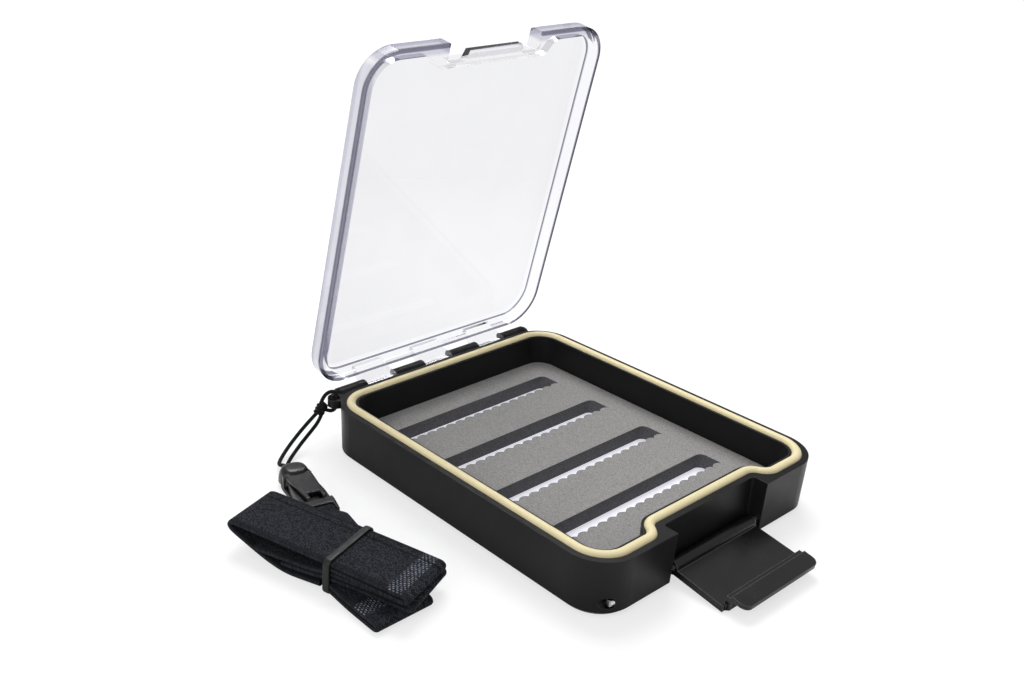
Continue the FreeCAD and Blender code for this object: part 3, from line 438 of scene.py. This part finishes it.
# The tray's level tops are painted far darker as shade, and its edges get a painted highlight.
satin = moulded("tray_plastic", (0.0105, 0.0105, 0.011), rough=0.34, shine=0.13, rounding=0.32 * MM,
                flat=0.1, edge_highlight_share=0.4)
dress(frame["nodes"]["case_tray"], satin, None)
# The latch's level tops are painted lighter as light, and its edges get a full painted highlight.
black = moulded("latch_plastic", (0.0045, 0.0045, 0.005), rough=0.24, shine=0.34, rounding=0.4 * MM,
                flat=1.4, edge_highlight_share=1)
dress(frame["nodes"]["latch"], black, None)

# Two bright steel pins lie across the case. One runs through the knuckles and carries the lid.
# The other carries the latch, and its end shows in the tray's access hole.
steel = Finish("bright_steel", Metallic=1.0, Roughness=0.22)
rub = steel.noise(0.8 * MM, 3)
steel.feed(Base_Color=steel.mix(rub, colour(0.78, 0.78, 0.79), colour(0.95, 0.95, 0.95)))
for node in ("hinge_pin", "latch_pin"):
    dress(frame["nodes"][node], steel, None)

# The seal is a cream rubber cord with a round crown, which stands in the groove of the tray's
# rim. It runs all round and bends in behind the latch recess.
HALF_WIDTH, HALF_LENGTH, CORNER = 52, 60, 12.5
SEAL_INSET, SEAL_BEND, RECESS_HALF, RECESS_DEPTH = 3.5, 5, 21.3, 5
SEAL_RADIUS, SEAL_FOOT, SEAL_HEIGHT, SEAL_FLOOR = 1.5, 1.45, 17.6, 16.22


def rail(inset, fine=14):
    """Outlines that run parallel to the seal, one for each inset, as points in mm.

    Each is made of arcs about fixed centres, joined by straight edges: two that lead round
    the recess and two corners on the right, then the same on the left in a mirror.
    """
    inset = np.asarray(inset, float)[:, None]
    shift = inset - SEAL_INSET
    span = math.sqrt(4 * SEAL_BEND * RECESS_DEPTH - RECESS_DEPTH ** 2)
    bend = math.asin(span / (2 * SEAL_BEND))
    low = SEAL_INSET - HALF_LENGTH
    upward, downward = math.pi / 2, 1.5 * math.pi
    near = (RECESS_HALF, low + RECESS_DEPTH - SEAL_BEND, SEAL_BEND + shift, upward, upward - bend)
    far = (RECESS_HALF + span, low + SEAL_BEND, SEAL_BEND - shift, downward - bend, downward)
    corner_x, corner_y = HALF_WIDTH - CORNER, HALF_LENGTH - CORNER
    front = (corner_x, -corner_y, CORNER - inset, -math.pi / 2, 0)
    back = (corner_x, corner_y, CORNER - inset, 0, math.pi / 2)
    xs, ys = [], []
    for x, y, radius, start, end in (near, far, front, back):
        angle = np.linspace(start, end, fine)
        xs.append(x + radius * np.cos(angle))
        ys.append(y + radius * np.sin(angle))
    x, y = np.concatenate(xs, 1), np.concatenate(ys, 1)
    return np.concatenate((x, -x[:, ::-1]), 1), np.concatenate((y, y[:, ::-1]), 1)


around = np.linspace(0, np.pi, 17)
seal_out = np.concatenate((SEAL_RADIUS * np.cos(around), (-SEAL_FOOT, SEAL_FOOT)))
seal_up = np.concatenate((SEAL_HEIGHT + SEAL_RADIUS * np.sin(around), (SEAL_FLOOR, SEAL_FLOOR)))
seal_x, seal_y = rail(SEAL_INSET - seal_out)
grid = np.stack((seal_x, seal_y, np.broadcast_to(seal_up[:, None], seal_x.shape)), -1) * MM
seal = surface("seal", grid.transpose(1, 0, 2), wrap_rows=True, wrap_columns=True)
cream = Finish("cream_rubber", Roughness=0.5, Specular_IOR_Level=0.35)
cloud = cream.noise(7 * MM, 3)
dust = cream.noise(0.5 * MM, 3)
stain = cloud * 0.6 + dust * 0.4
cream.feed(Base_Color=cream.mix(stain, colour(0.64, 0.55, 0.315), colour(0.76, 0.68, 0.43)))
cream.bump(dust, 0.02 * MM, 0.6)
dress(seal, cream, "tray")
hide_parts("gasket")

# The insert is cut from grey closed-cell foam. Its walls are painted darker than its skin, as the
# shade in the slots, and a white sheet under it shows in the slots with a faint painted glow.
foam_finish = Finish("grey_foam", Roughness=0.95, Specular_IOR_Level=0.15)
# Faces that turn sideways get a darker colour, a painted shade; faces that look up keep the skin.
on_top = foam_finish.spread(foam_finish.split(foam_finish.normal()).out("Z"), 0.3, 0.8, 0, 1)
cells = foam_finish.noise(0.3 * MM, 1)
speckle = foam_finish.spread(cells, 0.36, 0.64, 0, 1)
skin = foam_finish.mix(speckle, colour(0.192, 0.188, 0.184), colour(0.313, 0.307, 0.3))
wall_with_painted_shade = foam_finish.mix(speckle, colour(0.07, 0.07, 0.075), colour(0.12, 0.12, 0.125))
foam_finish.feed(Base_Color=foam_finish.mix(on_top, wall_with_painted_shade, skin))
foam_finish.bump(cells, 0.05 * MM, 0.7)


def merged_copy(node, name):
    """A piece of its own from a CAD node's mesh, with its loose triangles joined and dissolved."""
    shell = bmesh.new()
    shell.from_mesh(frame["nodes"][node].data)
    bmesh.ops.remove_doubles(shell, verts=shell.verts, dist=0.002 * MM)
    edges, verts = shell.edges[:], shell.verts[:]
    bmesh.ops.dissolve_limit(shell, angle_limit=math.radians(1), verts=verts, edges=edges)
    mesh = bpy.data.meshes.new(name)
    shell.to_mesh(mesh)
    shell.free()
    return finish_mesh(name, mesh)


foam = merged_copy("foam_insert", "foam")
edge = foam.modifiers.new("soft_edges", "BEVEL")
edge.width = 0.2 * MM
edge.segments = 2
edge.limit_method = "ANGLE"
edge.angle_limit = math.radians(50)
edge.use_clamp_overlap = True
edge.harden_normals = True
dress(foam, foam_finish, "tray")
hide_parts("foam_insert")
# The sheet glows faintly, a painted light that brightens it where the slots shade it.
white = Finish("white_sheet", Roughness=0.5, Emission_Color=colour(0.9, 0.89, 1.0),
               Emission_Strength=0.42)
cloud = white.noise(6 * MM, 2)
white.feed(Base_Color=white.mix(cloud, colour(0.92, 0.91, 0.97), colour(0.96, 0.95, 1.0)))
dress(frame["nodes"]["base_sheet"], white, None)

# The lid is one clear moulding, polished, its walls almost clear with a faint grey lavender tint.
# A dark line is painted at their free edge and at their root as the shade that clear edges show,
# the front and left walls are painted deeper as shade, and the plate is painted darker toward its
# hinge end on the left. These marks are laid out in the closed lid's own plan.
clear = Finish("clear_plastic", Transmission_Weight=1.0, IOR=1.14, Coat_Weight=0.06,
               Coat_Roughness=0.02)
spot = clear.split(clear.place)
HINGE_Y, HINGE_Z, OPENED = 62.9 * MM, 15.6 * MM, math.radians(78)
LID_LOW, LID_HIGH = 19.25 * MM, 25.05 * MM
back_y, back_z = spot.out("Y") - HINGE_Y, spot.out("Z") - HINGE_Z
plan_x = spot.out("X").math("ABSOLUTE")
plan_y = back_y * math.cos(OPENED) - back_z * math.sin(OPENED) + HINGE_Y
plan_z = back_y * math.sin(OPENED) + back_z * math.cos(OPENED) + HINGE_Z
over_x = plan_x - (HALF_WIDTH - CORNER) * MM
over_y = plan_y.math("ABSOLUTE") - (HALF_LENGTH - CORNER) * MM
past_x, past_y = over_x.math("MAXIMUM", 0), over_y.math("MAXIMUM", 0)
inside = over_x.math("MAXIMUM", over_y).math("MINIMUM", 0)
reach = (past_x * past_x + past_y * past_y).math("SQRT") + inside
at_wall = clear.spread(reach, (CORNER - 4.0) * MM, (CORNER - 3.4) * MM, 0, 1)
at_wall = at_wall * (plan_y < (HALF_LENGTH - 0.2) * MM)
# A dark line is painted at the walls' free edge and at their root, the shade that clear edges show.
free_edge = clear.spread(plan_z, LID_LOW + 0.7 * MM, LID_LOW + 1.0 * MM, 1, 0)
root = clear.spread(plan_z, LID_HIGH - 1.1 * MM, LID_HIGH - 0.7 * MM, 0, 1)
line = free_edge.math("MAXIMUM", root)
line = line * clear.spread(reach, (CORNER - 1.5) * MM, (CORNER - 1.2) * MM, 0, 1)
# The front and left walls are painted deeper, as shade.
front = clear.spread(plan_y, (2.5 - HALF_LENGTH) * MM, (4 - HALF_LENGTH) * MM, 1, 0)
left = clear.spread(spot.out("X"), (2.5 - HALF_WIDTH) * MM, (4 - HALF_WIDTH) * MM, 0.75, 0)
haze = clear.noise(14 * MM, 2)
# The plate is painted darker toward its hinge end on the left, a painted shade.
shade = clear.spread(plan_y - spot.out("X"), 30 * MM, 105 * MM, 0, 1)
plate = clear.mix(haze, colour(0.79, 0.79, 0.81), colour(0.83, 0.83, 0.848))
plate = clear.mix(shade, plate, colour(0.74, 0.74, 0.76))
wall_with_painted_shade = clear.mix(front.math("MAXIMUM", left), colour(0.88, 0.88, 0.91), colour(0.42, 0.42, 0.52))
wall_with_painted_shade = clear.mix(line, wall_with_painted_shade, colour(0.06, 0.06, 0.09))
clear.feed(
    Base_Color=clear.mix(at_wall, plate, wall_with_painted_shade),
    Roughness=clear.spread(haze, 0.3, 0.7, 0.0, 0.03),
)
dress(frame["nodes"]["lid"], clear, None)

# The strap's bundle and the buckle lie flat on the table, each turned its own way.
BUNDLE_END, BUNDLE_HEADING = np.array((-100.35, 32.95, 0)), math.radians(-72.7)
BUCKLE_MOUTH, BUCKLE_HEADING = np.array((-77.7, 29.4, 0)), math.radians(-101.8)
TIE_REACH = 36
TIE_PLACE = BUNDLE_END + TIE_REACH * np.array(
    (math.cos(BUNDLE_HEADING), math.sin(BUNDLE_HEADING), 0))


def place_flat(points, place, heading):
    """Points in mm along, across and up, turned to the heading, moved to the place, in metres."""
    along = np.array((math.cos(heading), math.sin(heading), 0))
    beside = np.array((-math.sin(heading), math.cos(heading), 0))
    upward = np.array((0, 0, 1))
    flat = points[..., :1] * along + points[..., 1:2] * beside + points[..., 2:] * upward
    return (flat + place) * MM


# The side-release buckle is glossier black plastic. The socket holds the cord and the plug the
# strap. Its edges are well rounded and carry a faint painted highlight, and a cap domes the
# socket's cord end.
gloss = moulded("buckle_plastic", (0.0035, 0.0035, 0.004), rough=0.24, shine=0.42,
                rounding=0.8 * MM, edge_highlight_share=0.2)
for node in ("buckle_socket", "buckle_plug"):
    dress(frame["nodes"][node], gloss, None)


def pillow(name, centre, half_long, half_wide, low, high, place, heading, rings=14, sides=48):
    """Rounded cap on a blunt oval outline.

    Each ring is the outline drawn in toward the centre by a share, and its height rises from
    low to high as the root of one less that share to the sixth power.
    """
    share = np.cos(np.linspace(0, np.pi / 2 - 0.02, rings))
    turn = np.linspace(0, 2 * np.pi, sides, endpoint=False)
    x = np.sign(np.cos(turn)) * np.abs(np.cos(turn)) ** 0.8 * half_long
    y = np.sign(np.sin(turn)) * np.abs(np.sin(turn)) ** 0.8 * half_wide
    grid = np.empty((rings, sides, 3))
    grid[..., 0] = centre + share[:, None] * x
    grid[..., 1] = share[:, None] * y
    grid[..., 2] = low + (high - low) * np.sqrt(1 - share[:, None] ** 6)
    return surface(name, place_flat(grid, place, heading), wrap_columns=True, capped=True)


dome = pillow("buckle_dome", centre=-17.7, half_long=4.2, half_wide=5.0, low=1.6, high=6.6,
              place=BUCKLE_MOUTH, heading=BUCKLE_HEADING)
dress(dome, gloss, "tray")


# The neck strap is flat black webbing, folded up in three folds under the tie. Its narrow end is
# an eye round the plug's bar.
def band(name, route, width, thickness, place, heading, stitched=None):
    """Webbing along a route of points (along, up) in mm.

    Its section is a flat slab with half-round selvedges, square to the way on. The stitch map
    is 1 in the stitched stretch, from one distance along to another, where the route runs onward.
    """
    line = spline_points([(x, 0, z) for x, z in route]) / MM
    way = unit(np.gradient(line, axis=0))
    lift = np.stack((-way[:, 2], way[:, 1], way[:, 0]), 1)
    across = np.linspace(-1, 1, 13)
    edge = np.linspace(-np.pi / 2, np.pi / 2, 5)[1:-1]
    flat = width / 2 - thickness / 2
    y = np.concatenate((across * flat, flat + np.cos(edge) * thickness / 2,
                        -across * flat, -flat - np.cos(edge) * thickness / 2))
    z = np.concatenate((0 * across - 1, np.sin(edge), 0 * across + 1, -np.sin(edge)))
    z = z * thickness / 2
    grid = line[:, None] + z[:, None] * lift[:, None] + y[:, None] * np.array((0, 1, 0))
    piece = surface(name, place_flat(grid, place, heading), wrap_columns=True, capped=True,
                    across=y * MM)
    sewn = np.zeros((len(line), len(y)))
    if stitched:
        start, stop = stitched
        sewn[(line[:, 0] > start) & (line[:, 0] < stop) & (np.gradient(line[:, 0]) > 0)] = 1
    corner = np.empty(len(piece.data.loops), np.int32)
    piece.data.loops.foreach_get("vertex_index", corner)
    values = np.stack((sewn.ravel()[corner], 0 * corner), 1).astype(np.float32)
    piece.data.uv_layers.new(name="stitch").data.foreach_set("uv", values.ravel())
    return piece


STRAP_WIDTH, STRAP_THICKNESS = 20, 1.5
THREAD, STITCH_LENGTH, STITCH_ROW, SEAM = 0.44 * MM, 1.2 * MM, 0.7 * MM, 6.3 * MM
webbing = Finish("black_webbing", Roughness=0.9, Specular_IOR_Level=0.15)
uv = webbing.split(webbing.add("UVMap"))
rows = uv.out("X") / THREAD
columns = uv.out("Y") / THREAD
stagger = (columns / 2).math("FRACT") > 0.45
rows = rows + stagger * 0.5
pick = (rows * math.pi).math("SINE").math("ABSOLUTE")
rib = (columns * math.pi).math("SINE").math("ABSOLUTE")
cell = webbing.add("CombineXYZ", None, {0: rows.math("FLOOR"), 1: columns.math("FLOOR")})
chance = webbing.add("TexWhiteNoise", {"noise_dimensions": "3D"}, {"Vector": cell})
thread = pick * rib
fleck = (chance > 0.3) * thread
sewn = webbing.split(webbing.add("UVMap", {"uv_map": "stitch"})).out("X")
row = uv.out("Y") / STITCH_ROW
stroke = (uv.out("X") / STITCH_LENGTH + row.math("FLOOR") * 0.38).math("FRACT")
dash = (row.math("FRACT") < 0.5) * (stroke < 0.55) * sewn
selvedge = webbing.spread(uv.out("Y").math("ABSOLUTE"), 8.2 * MM, 8.6 * MM, 1, 0.35)
tone = webbing.mix(thread, colour(0.002, 0.002, 0.003), colour(0.019, 0.02, 0.025))
tone = webbing.mix(fleck * (0.5 * chance) * selvedge, tone, colour(0.12, 0.135, 0.17))
tone = webbing.mix(dash * (0.1 + 0.5 * chance), tone, colour(0.42, 0.46, 0.56))
# The seam's groove is bumped in, and its dark colour is painted shade in the groove.
groove = webbing.spread((uv.out("Y") - SEAM).math("ABSOLUTE"), 0.2 * MM, 0.45 * MM, 0.75, 0)
webbing.feed(Base_Color=webbing.mix(groove, tone, colour(0.002, 0.002, 0.003)))
webbing.bump(thread - groove * 2, 0.16 * MM)

strap_route = [
    (33.2, 1.75), (28, 1.3), (22, 0.87), (17, 1.6), (12, 3.1), (7, 5.0), (2.4, 6.7), (1.0, 7.6),
    (0.75, 8.5), (1.6, 9.45), (5, 9.5), (14, 9.5), (24, 9.5), (36, 9.5), (48, 9.4), (58, 9.25),
    (60.6, 9.22), (61.3, 8.35), (60.6, 7.45), (57, 7.5), (49, 7.75), (41, 7.95), (34.9, 7.95),
]
fold_route = [
    (-25.4, 5.63), (-16, 5.63), (-7.2, 5.7), (-1, 6.4), (5, 6.4), (14, 6.15), (22, 5.95),
    (24.6, 5.92), (25.3, 5.05), (24.6, 4.15), (21, 4.2), (12, 4.55), (5, 4.85), (-2.2, 4.8),
    (-7.2, 4.1), (-16, 4.08),
]
tail_route = [
    (1.5, 3.3), (5, 3.15), (9, 2.8), (13, 2.6), (21, 2.6), (23.6, 2.58), (24.3, 1.72),
    (23.6, 0.85), (20, 0.85), (12, 0.87), (6, 1.4), (1.5, 1.75),
]
loop_route = [
    (22.2, 7.3), (17, 7.3), (14.4, 7.3), (8.6, 4.4), (6.0, 4.4), (4.2, 4.4), (4.2, 2.8),
    (4.2, 1.2), (6, 1.2), (8.2, 1.2), (12.2, 2.8),
]
strap = band("strap", strap_route, STRAP_WIDTH, STRAP_THICKNESS, BUNDLE_END,
             BUNDLE_HEADING, (55, 59.5))
strap_fold = band("strap_fold", fold_route, STRAP_WIDTH, STRAP_THICKNESS, TIE_PLACE,
                  BUNDLE_HEADING + math.radians(4), (19.5, 24))
strap_tail = band("strap_tail", tail_route, STRAP_WIDTH, STRAP_THICKNESS, TIE_PLACE,
                  BUNDLE_HEADING - math.radians(17), (15, 19.5))
strap_loop = band("strap_loop", loop_route, 6.4, 1.2, BUCKLE_MOUTH, BUCKLE_HEADING)
for piece in (strap, strap_fold, strap_tail, strap_loop):
    dress(piece, webbing, "strap")
    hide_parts("lanyard_" + piece.name)


# A flat rubber ring holds the folded strap. It hugs the layers and is rounded at their edges.
def hoop(half, bottom, top, corner, width, thickness, fine=10):
    """Ring across the bundle: a rounded rectangle swept with a flat oval section."""
    angle = np.linspace(0, np.pi / 2, fine)
    corners = []
    for side, level, start in ((1, 1, 0), (-1, 1, 1), (-1, 0, 2), (1, 0, 3)):
        turned = angle + start * np.pi / 2
        centre_y, centre_z = side * (half - corner), (top - corner) if level else (bottom + corner)
        y, z = centre_y + corner * np.cos(turned), centre_z + corner * np.sin(turned)
        corners.append(np.stack((y, z), 1))
    line = np.concatenate(corners)
    way = unit(np.roll(line, -1, 0) - np.roll(line, 1, 0))
    out = np.stack((way[:, 1], -way[:, 0]), 1)
    section = np.linspace(0, 2 * np.pi, 16, endpoint=False)
    deep = np.sign(np.sin(section)) * np.abs(np.sin(section)) ** 0.7 * thickness / 2
    wide = np.sign(np.cos(section)) * np.abs(np.cos(section)) ** 0.5 * width / 2
    flat = line[:, None] + deep[:, None] * out[:, None]
    grid = np.stack((np.broadcast_to(wide, flat.shape[:2]), flat[..., 0], flat[..., 1]), -1)
    placed = place_flat(grid, TIE_PLACE, BUNDLE_HEADING)
    return surface("tie", placed, wrap_rows=True, wrap_columns=True)


rubber = moulded("tie_rubber", (0.014, 0.014, 0.015), rough=0.42, shine=0.22, rounding=0.25 * MM)
tie = hoop(half=10.75, bottom=0.42, top=10.7, corner=1.7, width=2.2, thickness=0.7)
dress(tie, rubber, "strap")
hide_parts("strap_tie")
